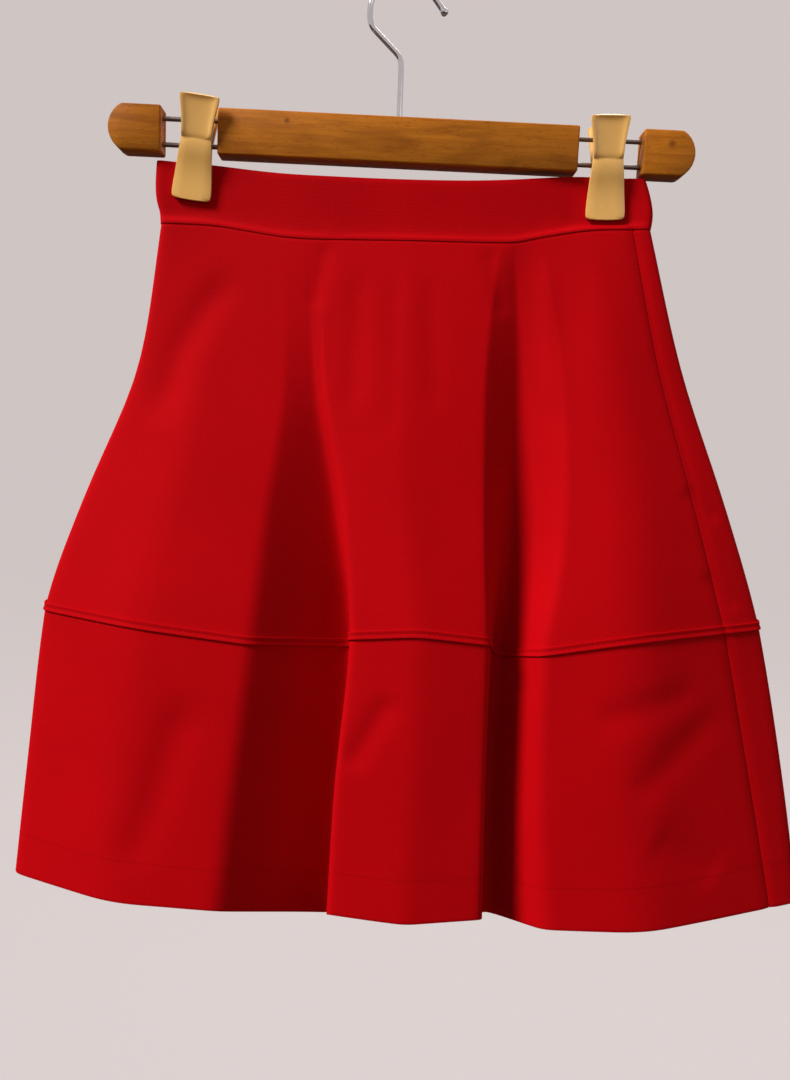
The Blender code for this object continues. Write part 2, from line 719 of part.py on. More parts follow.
def lever_grid(face):
    """One lever's outer face as rows from its top down, with its raised rim round the upper half."""
    rows = []
    width = 1.0 if face == FRONT else REAR_LEVER_WIDTH
    for height, half_width, y in LEVER:
        row = []
        for share in LEVER_COLUMNS:
            on_rim = abs(share) > LEVER_RIM_EDGE or height > LEVER_RIM_TOP
            rim = LEVER_RIM if on_rim and height > LEVER_RIM_END else 0.0
            row.append(Vector((share * half_width * width, -face * (y - rim), height)))
        rows.append(row if face == FRONT else row[::-1])
    return rows


def make_clip(name, x, tilt, material, parts, cutters):
    """A clip: two levers on a core that rides on both rods."""
    middle = BAR_TOP - BAR_HEIGHT / 2.0
    frame = bpy.data.objects.new(f"clip_{name}_place", None)
    frame.location = Vector((x, 0.0, middle)) * MM
    frame.rotation_euler.y = tilt
    parts.objects.link(frame)
    down = Vector((0.0, 0.0, -middle))
    for lever_name, face in (("front", FRONT), ("rear", BACK)):
        rows = [[point + down for point in row] for row in lever_grid(face)]
        lever = make_sheet(f"clip_{name}_{lever_name}", rows, LEVER_WALL, material, parts)
        lever.parent = frame
    core = make_block(f"clip_{name}_core", CORE_SIZE, Vector((0.0, 0.0, 0.0)), material, parts, edge=0.8)
    core.parent = frame
    for height in (ROD_SPACING / 2.0, -ROD_SPACING / 2.0):
        start = Vector((-CORE_SIZE[0], 0.0, height))
        end = Vector((CORE_SIZE[0], 0.0, height))
        bore(core, start, end, CORE_BORE, cutters, parent=frame)


def main():
    clear_scene()
    parts = make_collection("skirt on a clip hanger")
    cutters = make_collection("cutters")
    cloth = make_material(*RED_CLOTH)
    zip_tape = make_material(*RED_ZIP)
    wood = make_material(*HONEY_WOOD)
    steel = make_material(*STEEL_ROD)
    chrome = make_material(*CHROME_WIRE)
    plastic = make_material(*CREAM_PLASTIC)
    make_waistband(cloth, parts)
    make_panels(cloth, parts)
    make_hem_bands(cloth, parts)
    make_seam_ridges(cloth, parts)
    make_zip(zip_tape, steel, parts)
    skirt = list(parts.objects)
    for piece in skirt:
        piece.location.x += SKIRT_SHIFT * MM
    make_bar(wood, parts, cutters)
    for name, side, tip in END_BLOCKS:
        make_end_block(f"hanger_end_{name}", side, tip, wood, parts, cutters)
    make_rods(steel, parts)
    make_hook(chrome, parts)
    for name, x, tilt in CLIPS:
        make_clip(name, x, tilt, plastic, parts, cutters)
    middle = Matrix.Translation((0.0, 0.0, (BAR_TOP - BAR_HEIGHT / 2.0) * MM))
    lean = middle @ Matrix.Rotation(HANGER_LEAN, 4, "Y") @ middle.inverted()
    for thing in [*parts.objects, *cutters.objects]:
        if thing not in skirt and thing.name != "hook" and thing.parent is None:
            thing.matrix_basis = lean @ thing.matrix_basis


main()
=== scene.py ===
"""Looks for a red flared skirt that hangs by two clips from a wooden clip hanger.

Sizes are in millimetres and become metres where a point enters a mesh. The skirt's front faces -Y,
+X is to the viewer's right, and the origin is the inside of the hook's top.
"""

import math
from collections import deque

import bmesh
import bpy
import numpy as np
from bpy.props import FloatProperty, FloatVectorProperty, PointerProperty
from mathutils import Matrix, Vector, noise
from mathutils.bvhtree import BVHTree
from mathutils.kdtree import KDTree


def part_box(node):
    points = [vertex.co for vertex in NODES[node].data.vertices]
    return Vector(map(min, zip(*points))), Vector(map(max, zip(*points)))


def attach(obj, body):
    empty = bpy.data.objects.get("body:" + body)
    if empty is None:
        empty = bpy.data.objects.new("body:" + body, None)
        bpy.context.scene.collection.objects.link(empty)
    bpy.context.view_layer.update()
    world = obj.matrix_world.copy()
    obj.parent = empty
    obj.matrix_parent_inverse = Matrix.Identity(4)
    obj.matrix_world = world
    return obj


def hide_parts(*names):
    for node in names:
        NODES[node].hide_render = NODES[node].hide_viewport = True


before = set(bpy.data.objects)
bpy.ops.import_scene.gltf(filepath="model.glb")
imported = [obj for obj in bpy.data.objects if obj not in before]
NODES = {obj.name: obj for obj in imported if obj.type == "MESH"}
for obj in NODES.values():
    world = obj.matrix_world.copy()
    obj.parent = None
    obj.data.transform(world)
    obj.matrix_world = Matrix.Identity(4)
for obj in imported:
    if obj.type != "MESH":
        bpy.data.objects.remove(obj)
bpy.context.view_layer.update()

bl_info = {
    "name": "Skirt on a clip hanger",
    "version": (1, 0, 0),
    "blender": (4, 5, 0),
    "location": "View3D > Sidebar > Skirt",
    "description": "Cloth, sewing and finishes for a flared skirt that hangs from a clip hanger",
    "category": "Object",
}

MM = 0.001

# Meshes
MERGE = 0.02 * MM
JOIN_ANGLE = math.radians(70.0)
JOIN_REGULARITY = (1.0, 1.5, 2.0)
RIM_TURN = math.radians(70.0)
EDGE_TURN = math.radians(33.0)
BEVEL_TURN = math.radians(50.0)
UPRIGHT_FACE = 0.7
CLOTH_GRID = 5.5 * MM
RIM_FACES_DOWN = -0.5
SEAM_DROP = 0.35

# Creases: side, path from start to end as x and z, half width, and how far it stands out, which is
# below 0 for a trough
CREASES = (
    ("front", ((-98, -178), (-119, -205), (-135, -232), (-150, -283)), 11, -1.7),
    ("front", ((-43, -158), (-50, -206)), 6, -0.8),
    ("front", ((58, -158), (72, -206)), 6, -0.8),
    ("front", ((-22, -172), (-24, -272)), 7, -0.8),
    ("front", ((0, -172), (3, -290)), 7, -0.6),
    ("front", ((22, -172), (29, -270)), 7, -0.7),
    ("front", ((95, -163), (105, -268)), 6, 0.8),
    ("front", ((190, -308), (218, -331)), 5, -0.7),
    ("front", ((206, -362), (234, -390)), 5, -0.7),
    ("front", ((132, -460), (168, -450), (212, -438)), 11, -1.1),
    ("front", ((160, -514), (188, -486), (226, -450)), 12, -1.2),
    ("front", ((176, -536), (202, -548), (232, -566)), 13, -0.9),
    ("front", ((-120, -444), (-140, -510), (-164, -576)), 13, -1.6),
    ("front", ((-21, -496), (9, -441)), 8, -1.3),
    ("back", ((96, -174), (118, -206), (136, -252), (142, -300)), 11, -1.5),
    ("back", ((46, -160), (51, -184)), 5, -1.0),
    ("back", ((-66, -160), (-72, -182)), 5, -1.0),
    ("back", ((12, -172), (15, -268)), 7, -0.7),
    ("back", ((-18, -176), (-25, -280)), 7, -0.7),
    ("back", ((-112, -190), (-132, -262), (-141, -320)), 9, -1.2),
    ("back", ((-140, -470), (-196, -440)), 9, -1.3),
    ("back", ((-178, -560), (-150, -505)), 10, -1.2),
    ("back", ((150, -446), (190, -500), (208, -560)), 12, -1.4),
    ("back", ((-28, -500), (6, -446)), 8, -1.1),
)

# Side seams, as x and z down the cloth
RIGHT_SEAM = ((151, -146), (172, -229), (199, -311), (225, -402), (249, -497), (271, -594))
LEFT_SEAM = ((-138, -153), (-149, -234), (-175, -315), (-201, -404), (-212, -494), (-223, -585))
SEAM_GROOVES = (("front", RIGHT_SEAM, 3.2, -0.9), ("back", LEFT_SEAM, 3.2, -0.9))

# How creases fade: the share of a path at each end, and the depths between which a side starts
FADE = 0.22
FACE_START = 2.0
FACE_FULL = 6.0

# How fast the cloth's unevenness changes, in x and in z, and where the back reads the same noise
DRIFT_ACROSS = 14.0
DRIFT_DOWN = 9.0
BACK_DRIFT = 3.0

# Sewing
STITCH_LENGTH = 2.9
STITCH_PITCH = 3.6
STITCH_WIDTH = 0.5
STITCH_SINK = 0.12
STITCH_SHARE = 0.52
STITCH_GROOVE = (1.1, 0.4)
GRAIN_SEGMENTS = (6, 4)
RIDGE_GRID = 2.2 * MM
HEM_TURN = 30.0 * MM

# Zip
TEETH_PITCH = 1.5
TEETH_SIZE = (2.6, 0.7, 0.9)
TEETH_LIFT = 0.2
ZIP_ROW_POINTS = 6
ZIP_INSIDE = 5.0
PULL_SIZE = (3.2, 0.9, 14.0)
PULL_ROUNDING = 0.35
PULL_GAP = 0.55
PULL_HANG = 0.45

# Cloth, thread and tape. A wave's scale is WAVE_SCALE divided by the pitch of its bands. A range is
# that of the noise and then that of the share it gives. A tone is a share of the colour's light.
WAVE_SCALE = 0.314
COURSE_PITCH = 1.25
FUZZ_SIZE = 2.2 * MM
FUZZ_RANGE = (0.36, 0.64, 0.0, 0.6)
FUZZ_TONES = (1.05, 0.88)
KNIT_TONES = (0.9, 1.06)
STAIN_SIZE = 55.0 * MM
STAIN_RANGE = (0.3, 0.7, 0.0, 0.45)
STAIN_TONE = 0.84
# The turn-up's line: its width, and the share and tone of the painted shade along its groove
HEM_LINE_WIDTH = 1.4 * MM
HEM_LINE_SHADE_SHARE = 0.22
HEM_LINE_SHADE_TONE = 0.55
THREAD_TWIST = 0.5 * MM
TAPE_WEAVE = 0.8 * MM

# Layers of the wood: stretch, size of spots, noise, range, and tone of the grain's colour
STREAK_NOISE = {"Detail": 4.0, "Roughness": 0.65, "Distortion": 0.4}
WOOD_LAYERS = (
    ((0.06, 0.7, 1.0), 2.4 * MM, STREAK_NOISE, (0.38, 0.68, 0.0, 0.55), 1.0),
    ((0.22, 0.7, 1.0), 17.0 * MM, {"Detail": 3.0, "Distortion": 1.4}, (0.48, 0.72, 0.0, 0.6), 0.85),
    ((0.25, 1.0, 1.0), 0.9 * MM, {"Detail": 1.0}, (0.62, 0.72, 0.0, 0.35), 0.6),
)

# Knots in the wood: place and radius
WOOD_KNOTS = (((171.5, -7.8, -93.0), 3.4), ((-70.0, -7.8, -88.5), 2.4))

KNOT_CORE = 0.3 * MM
KNOT_SHARE = 0.75
KNOT_TONE = 0.35

# Metal, plastic and paint
DRAW_LINES = 0.5 * MM
HAZE_SIZE = 9.0 * MM
HAZE_ROUGHNESS = (0.05, 0.2)
CLOUD_SIZE = 12.0 * MM
RIPPLE_SIZE = 3.0 * MM
MOTTLE_SIZE = 0.5

# Clips
LEVER_RIM = 0.45

# Camera and stage
CAMERA_PLACE = (-2.99, -595.8, -278.98)
CAMERA_YAW = math.radians(0.91)
CAMERA_PITCH = math.radians(6.8)
CAMERA_ROLL = math.radians(2.0)
SENSOR_HEIGHT = 36.0
LENS = 30.0
SKIRT_MIDDLE = (0.0, 0.0, -350.0)
KEY_PLACE = (-2.2, -1.2, 2.0)
KEY_SPREAD = math.radians(18.0)
KEY_COLOUR = (1.0, 0.97, 0.94)
FILL_PLACE = (1.5, -1.7, 0.1)
FILL_SIZE = 1.2
FILL_COLOUR = (1.0, 0.97, 0.95)
BACK_PLACE = (0.4, 1.8, 2.4)
BACK_SIZE = 1.6
BACK_COLOUR = (1.0, 0.98, 0.96)
FLOOR_HEIGHT = -1500.0
FLOOR_RADIUS = 40.0
FLOOR_SIDES = 64


def linear(colour):
    """A linear colour from an sRGB hex value."""
    channels = [int(colour[i:i + 2], 16) / 255.0 for i in (1, 3, 5)]
    return (*[c / 12.92 if c <= 0.04045 else ((c + 0.055) / 1.055) ** 2.4 for c in channels], 1.0)


def colour_choice(name, description, colour):
    """A colour that the user may change."""
    return FloatVectorProperty(
        name=name, description=description, subtype="COLOR", size=4, min=0.0, max=1.0,
        default=linear(colour),
    )


class SkirtLook(bpy.types.PropertyGroup):
    """What a user may change on the skirt."""

    cloth: colour_choice("Cloth", "Colour of the knitted cloth", "#bd020b")
    thread: colour_choice("Thread", "Colour of the sewing thread", "#9c020a")
    tape: colour_choice("Zip tape", "Colour of the zip's tape and teeth", "#8e0810")
    wale: FloatProperty(
        name="Wale spacing",
        description="Distance between the knit's ribs, coarser than the real 0.7 mm to show",
        default=1.3 * MM,
        unit="LENGTH",
    )
    creases: FloatProperty(
        name="Creases", description="How strongly the cloth is creased",
        default=1.0, subtype="FACTOR",
    )
    unevenness: FloatProperty(
        name="Unevenness", description="How far the cloth wanders in and out",
        default=0.8 * MM, unit="LENGTH",
    )


class HangerLook(bpy.types.PropertyGroup):
    """What a user may change on the hanger."""

    wood: colour_choice("Wood", "Main colour of the varnished wood", "#bd711c")
    grain: colour_choice("Grain", "Colour of the wood's darker grain", "#8d4b10")
    rod: colour_choice("Rods", "Colour of the drawn steel rods", "#8f827c")
    chrome: colour_choice("Hook", "Colour of the chrome hook", "#d8d9dc")
    plastic: colour_choice("Clips", "Colour of the moulded clips", "#f8c069")


class StageLook(bpy.types.PropertyGroup):
    """What a user may change on the stage."""

    floor: colour_choice("Floor", "Colour of the floor's paint", "#bbb5b6")
    room: colour_choice("Room", "Colour of what lies behind the skirt", "#cfc5c3")
    glow: colour_choice("Glow", "Colour of the light from all round", "#f6efec")
    ambient: FloatProperty(
        name="Ambient", description="Strength of the light from all round", default=0.34
    )
    key: FloatProperty(name="Key light", description="Strength of the main light", default=4.35)
    fill: FloatProperty(
        name="Fill light", description="Power of the light from the right", default=3.5
    )
    back: FloatProperty(
        name="Back light", description="Power of the light behind the skirt", default=34.0
    )
    bounce: FloatProperty(
        name="Bounce", description="Share of its light that the floor gives back to the skirt",
        default=0.12, subtype="FACTOR",
    )


def add(tree, kind, inputs=(), **settings):
    """Adds a shader node, with its settings and with its sockets set or linked."""
    node = tree.nodes.new("ShaderNode" + kind)
    for name, value in settings.items():
        setattr(node, name, value)
    for key, value in dict(inputs).items():
        if isinstance(value, bpy.types.NodeSocket):
            tree.links.new(value, node.inputs[key])
        else:
            node.inputs[key].default_value = value
    return node


def start_material(name, settings):
    """A material with its shader set, its node tree and its object coordinates."""
    material = bpy.data.materials.new(name)
    material.use_nodes = True
    tree = material.node_tree
    shader = tree.nodes["Principled BSDF"]
    for key, value in settings.items():
        shader.inputs[key].default_value = value
    return material, tree, shader, add(tree, "TexCoord").outputs["Object"]


def finish_material(tree, shader, colour, height, strength, distance):
    """Links a colour and a bump to a shader."""
    bump = add(tree, "Bump", {"Height": height, "Strength": strength, "Distance": distance})
    tree.links.new(bump.outputs["Normal"], shader.inputs["Normal"])
    tree.links.new(colour, shader.inputs["Base Color"])


def mixed(tree, share, first, second):
    """Two colours mixed by a share."""
    return add(tree, "Mix", {0: share, 6: first, 7: second}, data_type="RGBA").outputs[2]


def darker(colour, share):
    """A colour with a share of its light, which is lighter where the share is over 1."""
    return (*[channel * share for channel in colour[:3]], 1.0)


def toned(tree, share, colour, start, end=1.0):
    """A colour that goes from one share of its light to another."""
    return mixed(tree, share, darker(colour, start), darker(colour, end))


def worked_out(tree, operation, *values):
    """What a maths node makes of some values."""
    return add(tree, "Math", enumerate(values), operation=operation).outputs[0]


def ranged(tree, value, low, high, start, end, **settings):
    """A value whose range from low to high is mapped to one from start to end."""
    inputs = {"Value": value, 1: low, 2: high, 3: start, 4: end}
    return add(tree, "MapRange", inputs, **settings).outputs[0]


def spots(tree, place, size, inputs):
    """Noise with spots of about a given size."""
    node = add(tree, "TexNoise", {"Vector": place, "Scale": 1.0 / size, **inputs})
    return node.outputs["Fac"]


def bands(tree, place, pitch, way, inputs=()):
    """Waves with bands at a given pitch."""
    inputs = {"Vector": place, "Scale": WAVE_SCALE / pitch, **dict(inputs)}
    return add(tree, "TexWave", inputs, bands_direction=way).outputs["Fac"]


def knitted_cloth(name, colour, wale, turned_up=None):
    """Double-knit jersey: dense and matt, with fine upright ribs and a soft bloom at its edges.

    Where the cloth is turned up at the hem, a faint groove shows at the turn-up's height, with
    painted shade along it.
    """
    material, tree, shader, _ = start_material(name, {
        "Roughness": 0.78,
        "Specular IOR Level": 0.04,
        "Sheen Weight": 0.1,
        "Sheen Roughness": 0.4,
        "Sheen Tint": (1.0, 0.03, 0.04, 1.0),
    })
    layout = add(tree, "UVMap", uv_map="cloth").outputs["UV"]
    waver = {"Distortion": 1.2, "Detail": 1.0, "Detail Scale": 2.0}
    ribs = bands(tree, layout, wale, "X", waver)
    courses = bands(tree, layout, wale * COURSE_PITCH, "Y", {"Distortion": 1.5, "Detail": 1.0})
    fuzz = spots(tree, layout, FUZZ_SIZE, {"Detail": 3.0})
    stain = spots(tree, layout, STAIN_SIZE, {"Detail": 2.0})
    knit = worked_out(tree, "MULTIPLY", ribs, courses)
    height = worked_out(tree, "ADD", knit, fuzz)
    fuzzy = toned(tree, ranged(tree, fuzz, *FUZZ_RANGE), colour, *FUZZ_TONES)
    shade = mixed(tree, 0.5, fuzzy, toned(tree, knit, colour, *KNIT_TONES))
    shade = mixed(tree, ranged(tree, stain, *STAIN_RANGE), shade, darker(colour, STAIN_TONE))
    if turned_up:
        up = add(tree, "SeparateXYZ", {0: layout}).outputs["Y"]
        off_line = worked_out(tree, "SUBTRACT", worked_out(tree, "ABSOLUTE", up), turned_up)
        away = worked_out(tree, "ABSOLUTE", off_line)
        line = ranged(tree, away, 0.0, HEM_LINE_WIDTH, 1.0, 0.0, interpolation_type="SMOOTHSTEP")
        # Painted shade: the cloth is darkened along the turn-up's shallow groove
        share = worked_out(tree, "MULTIPLY", line, HEM_LINE_SHADE_SHARE)
        shade = mixed(tree, share, shade, darker(colour, HEM_LINE_SHADE_TONE))
        height = worked_out(tree, "SUBTRACT", height, line)
    finish_material(tree, shader, shade, height, strength=0.25, distance=0.12 * MM)
    return material


def sewing_thread(name, colour):
    """Spun polyester thread: a soft, matt twist."""
    settings = {"Roughness": 0.7, "Specular IOR Level": 0.08}
    material, tree, shader, place = start_material(name, settings)
    twist = bands(tree, place, THREAD_TWIST, "DIAGONAL", {"Distortion": 0.6})
    shade = toned(tree, twist, colour, 0.8)
    finish_material(tree, shader, shade, twist, strength=0.4, distance=0.1 * MM)
    return material


def zip_tape_weave(name, colour):
    """Woven polyester tape: a close, flat weave with a low sheen."""
    material, tree, shader, _ = start_material(name, {"Roughness": 0.7})
    layout = add(tree, "UVMap", uv_map="cloth").outputs["UV"]
    across = bands(tree, layout, TAPE_WEAVE, "X")
    along = bands(tree, layout, TAPE_WEAVE, "Y")
    weave = worked_out(tree, "MULTIPLY", across, along)
    shade = toned(tree, weave, colour, 0.75)
    finish_material(tree, shader, shade, weave, strength=0.5, distance=0.15 * MM)
    return material


def varnished_wood(name, colour, grain):
    """Thinly varnished beech: streaks, broad figure, small flecks, knots and a low satin gloss."""
    settings = {"Roughness": 0.5, "Specular IOR Level": 0.09}
    material, tree, shader, place = start_material(name, settings)
    shade = colour
    figures = []
    for stretch, size, inputs, span, tone in WOOD_LAYERS:
        along = add(tree, "Mapping", {"Vector": place, "Scale": stretch}).outputs[0]
        figures.append(spots(tree, along, size, inputs))
        shade = mixed(tree, ranged(tree, figures[-1], *span), shade, darker(grain, tone))
    for spot, size in WOOD_KNOTS:
        centre = tuple(value * MM for value in spot)
        away = add(tree, "VectorMath", {0: place, 1: centre}, operation="DISTANCE").outputs["Value"]
        knot = ranged(tree, away, KNOT_CORE, size * MM, KNOT_SHARE, 0.0)
        shade = mixed(tree, knot, shade, darker(grain, KNOT_TONE))
    finish_material(tree, shader, shade, figures[0], strength=0.25, distance=0.12 * MM)
    return material


def drawn_steel(name, colour):
    """Drawn mild-steel rod: dull, with fine lines along it."""
    material, tree, shader, place = start_material(name, {"Roughness": 0.34, "Metallic": 1.0})
    along = add(tree, "Mapping", {"Vector": place, "Scale": (0.03, 1.0, 1.0)}).outputs[0]
    lines = spots(tree, along, DRAW_LINES, {"Detail": 2.0})
    shade = toned(tree, lines, colour, 0.8)
    finish_material(tree, shader, shade, lines, strength=0.3, distance=0.05 * MM)
    return material


def chrome_plate(name, colour):
    """Chrome plate on wire: a mirror with a faint haze where hands have rubbed it."""
    material, tree, shader, place = start_material(name, {"Metallic": 1.0})
    haze = spots(tree, place, HAZE_SIZE, {"Detail": 3.0})
    tree.links.new(ranged(tree, haze, 0.0, 1.0, *HAZE_ROUGHNESS), shader.inputs["Roughness"])
    shade = toned(tree, haze, colour, 0.93)
    finish_material(tree, shader, shade, haze, strength=0.1, distance=0.02 * MM)
    return material


def moulded_plastic(name, colour):
    """Moulded polypropylene: creamy and glossy, with a faint cloudiness and ripple."""
    material, tree, shader, place = start_material(name, {
        "Roughness": 0.3,
        "Subsurface Weight": 0.12,
        "Subsurface Scale": 2.0 * MM,
        "Subsurface Radius": (1.0, 0.6, 0.3),
    })
    cloud = spots(tree, place, CLOUD_SIZE, {"Detail": 2.0})
    ripple = spots(tree, place, RIPPLE_SIZE, {"Detail": 2.0})
    shade = toned(tree, cloud, colour, 0.88)
    finish_material(tree, shader, shade, ripple, strength=0.12, distance=0.3 * MM)
    return material


def painted_floor(name, colour, bounce):
    """Plain painted floor: faintly mottled, not glossy, and darker where it lights the skirt."""
    settings = {"Roughness": 0.9, "Specular IOR Level": 0.0}
    material, tree, shader, place = start_material(name, settings)
    mottle = spots(tree, place, MOTTLE_SIZE, {"Detail": 2.0})
    seen = add(tree, "LightPath").outputs["Is Camera Ray"]
    shade = mixed(tree, seen, darker(colour, bounce), toned(tree, mottle, colour, 0.99))
    finish_material(tree, shader, shade, mottle, strength=0.05, distance=1.0 * MM)
    return material


def opposite(face, edge):
    """The edge across a four-sided face from one of its edges."""
    loop = next(corner for corner in face.loops if corner.edge == edge)
    return loop.link_loop_next.link_loop_next.edge


def edge_ring(start):
    """The edges side by side with one, in order, across four-sided faces."""
    ring = [start]
    for way, first in enumerate(start.link_faces):
        edge, face, walked = start, first, []
        while len(face.verts) == 4:
            edge = opposite(face, edge)
            if edge == start:
                return [start] + walked
            walked.append(edge)
            onward = [other for other in edge.link_faces if other != face]
            if not onward:
                break
            face = onward[0]
        ring = ring + walked if way == 0 else walked[::-1] + ring
    return ring


def mean_length(edges):
    """Mean length of some edges."""
    return sum(edge.calc_length() for edge in edges) / len(edges)


def quads_from(node):
    """A merged copy of a CAD node's mesh with its triangles joined to four-sided faces."""
    best = None
    for regularity in JOIN_REGULARITY:
        bm = bmesh.new()
        bm.from_mesh(NODES[node].data)
        bmesh.ops.remove_doubles(bm, verts=bm.verts, dist=MERGE)
        bmesh.ops.join_triangles(
            bm,
            faces=bm.faces,
            angle_face_threshold=JOIN_ANGLE,
            angle_shape_threshold=math.pi,
            topology_influence=regularity,
        )
        left = sum(len(face.verts) == 3 for face in bm.faces)
        if best is None or left < best[0]:
            if best:
                best[1].free()
            best = (left, bm)
        else:
            bm.free()
    return best[1]


def lay_out(bm, from_hem=False):
    """Gives the faces a flat layout in metres that follows the cloth, from the hem up if asked."""
    layer = bm.loops.layers.uv.new("cloth")
    reach = {}
    for edge in bm.edges:
        if edge not in reach:
            ring = edge_ring(edge)
            length = mean_length(ring)
            for member in ring:
                reach.setdefault(member, length)
    bm.normal_update()
    upright = [
        face for face in bm.faces if len(face.verts) == 4 and abs(face.normal.z) < UPRIGHT_FACE
    ]
    first = min(upright, key=lambda f: f.calc_center_median()[2 if from_hem else 1])
    start = min(first.loops, key=lambda l: l.vert.co.z + l.link_loop_next.vert.co.z)
    last = start.link_loop_prev
    corners = [start, start.link_loop_next, last.link_loop_prev, last]
    wide, tall = reach[start.edge], reach[corners[1].edge]
    for corner, place in zip(corners, ((0, 0), (wide, 0), (wide, tall), (0, tall))):
        corner[layer].uv = place
    done = {first}
    waiting = deque([first])
    while waiting:
        face = waiting.popleft()
        for loop in face.loops:
            other = loop.link_loop_radial_next
            if other.face in done or len(other.face.verts) != 4:
                continue
            here = loop[layer].uv.copy()
            there = loop.link_loop_next[layer].uv.copy()
            along = (there - here).normalized()
            out = Vector((along.y, -along.x)) * reach[other.link_loop_next.edge]
            other[layer].uv = there
            other.link_loop_next[layer].uv = here
            other.link_loop_next.link_loop_next[layer].uv = here + out
            other.link_loop_prev[layer].uv = there + out
            done.add(other.face)
            waiting.append(other.face)


def mark_rims(bm):
    """Keeps the wall's rims sharp while the rest is smoothed."""
    layer = bm.edges.layers.float.get("crease_edge") or bm.edges.layers.float.new("crease_edge")
    for edge in bm.edges:
        edge[layer] = 1.0 if edge.calc_face_angle(0.0) > RIM_TURN else 0.0


def even_out(bm, target):
    """Cuts each run of side-by-side edges into lengths near a target."""
    done = set()
    for edge in list(bm.edges):
        if edge in done or not edge.is_valid:
            continue
        ring = edge_ring(edge)
        done.update(ring)
        cuts = math.ceil(mean_length(ring) / target) - 1
        if cuts > 0:
            edges = list(dict.fromkeys(ring))
            bmesh.ops.subdivide_edges(bm, edges=edges, cuts=cuts, use_grid_fill=True)


def new_piece(name, bm, material):
    """A piece made of a finished bmesh, on the one body."""
    mesh = bpy.data.meshes.new(name)
    bm.to_mesh(mesh)
    bm.free()
    mesh.materials.clear()
    mesh.materials.append(material)
    mesh.shade_smooth()
    piece = bpy.data.objects.new(name, mesh)
    bpy.context.scene.collection.objects.link(piece)
    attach(piece, "root")
    return piece


def settle(piece):
    """Applies a piece's modifiers to its mesh."""
    graph = bpy.context.evaluated_depsgraph_get()
    old = piece.data
    piece.data = bpy.data.meshes.new_from_object(
        piece.evaluated_get(graph), preserve_all_data_layers=True, depsgraph=graph
    )
    piece.modifiers.clear()
    bpy.data.meshes.remove(old)


def smooth_out(piece, levels):
    """Rounds a piece with subdivision surfaces, its rims kept sharp."""
    bm = bmesh.new()
    bm.from_mesh(piece.data)
    mark_rims(bm)
    bm.to_mesh(piece.data)
    bm.free()
    finer = piece.modifiers.new("finer", "SUBSURF")
    finer.levels = levels
    finer.render_levels = levels
    settle(piece)


def round_rims(piece, width):
    """Softens a piece's rims."""
    bevel = piece.modifiers.new("rims", "BEVEL")
    bevel.width = width * MM
    bevel.segments = 2
    bevel.limit_method = "ANGLE"
    bevel.angle_limit = BEVEL_TURN
    settle(piece)


def path_closeness(points, path):
    """Each point's distance to a path in x and z, and the share of the path's length there."""
    knots = np.array(path, float)
    runs = np.linalg.norm(np.diff(knots, axis=0), axis=1)
    starts = np.concatenate(([0.0], np.cumsum(runs)))
    nearest = np.full(len(points), np.inf)
    share = np.zeros(len(points))
    for start, end, run, gone in zip(knots, knots[1:], runs, starts):
        along = np.clip((points - start) @ (end - start) / run ** 2, 0.0, 1.0)
        away = np.linalg.norm(points - (start + along[:, None] * (end - start)), axis=1)
        closer = away < nearest
        nearest[closer] = away[closer]
        share[closer] = (gone + along[closer] * run) / starts[-1]
    return nearest, share


def eased(value):
    """A value from 0 to 1 that starts and ends gently."""
    value = np.clip(value, 0.0, 1.0)
    return value * value * (3.0 - 2.0 * value)


def creased(points, look):
    """Points of the cloth, in metres, moved in and out by its creases."""
    flat = points[:, [0, 2]] / MM
    depth = points[:, 1] / MM
    faces = {
        "front": -eased((-depth - FACE_START) / (FACE_FULL - FACE_START)),
        "back": eased((depth - FACE_START) / (FACE_FULL - FACE_START)),
    }
    shift = np.zeros(len(points))
    for side, path, half_width, height in CREASES:
        away, share = path_closeness(flat, path)
        fade = eased(share / FADE) * eased((1.0 - share) / FADE)
        shift += faces[side] * height * fade * np.exp(-((away / half_width) ** 2))
    for side, path, half_width, height in SEAM_GROOVES:
        away, _ = path_closeness(flat, path)
        shift += faces[side] * height * np.exp(-((away / half_width) ** 2))
    moved = points.copy()
    moved[:, 1] += shift * MM * look.creases
    drift = [
        noise.noise(Vector((x * DRIFT_ACROSS, BACK_DRIFT if y > 0.0 else 0.0, z * DRIFT_DOWN)))
        for x, y, z in points
    ]
    both = np.abs(faces["front"]) + faces["back"]
    moved[:, 1] += np.array(drift) * both * look.unevenness
    return moved


def crease(piece, look):
    """Moves a piece's points by the cloth's creases."""
    mesh = piece.data
    points = np.zeros(len(mesh.vertices) * 3)
    mesh.vertices.foreach_get("co", points)
    mesh.vertices.foreach_set("co", creased(points.reshape(-1, 3), look).ravel())
    mesh.update()


def groove(piece, line, half_width, depth):
    """Presses a soft groove into a piece along a line."""
    places = spread_along(line, half_width / 2.0)
    tree = KDTree(len(places))
    for i, (place, _) in enumerate(places):
        tree.insert(place, i)
    tree.balance()
    normals = [vert.normal.copy() for vert in piece.data.vertices]
    for vert, normal in zip(piece.data.vertices, normals):
        away = tree.find(vert.co)[2]
        if away < half_width * 2.0:
            vert.co -= normal * depth * math.exp(-((away / half_width) ** 2))
    piece.data.update()


def cloth_piece(node, material, look, rim=0.7, grid=CLOTH_GRID, from_hem=False):
    """A cloth node's own form, finer, creased and with soft rims."""
    bm = quads_from(node)
    lay_out(bm, from_hem)
    piece = new_piece(node + "_cloth", bm, material)
    smooth_out(piece, 1)
    bm = bmesh.new()
    bm.from_mesh(piece.data)
    even_out(bm, grid)
    bm.to_mesh(piece.data)
    bm.free()
    smooth_out(piece, 1)
    crease(piece, look)
    round_rims(piece, rim)
    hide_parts(node)
    return piece


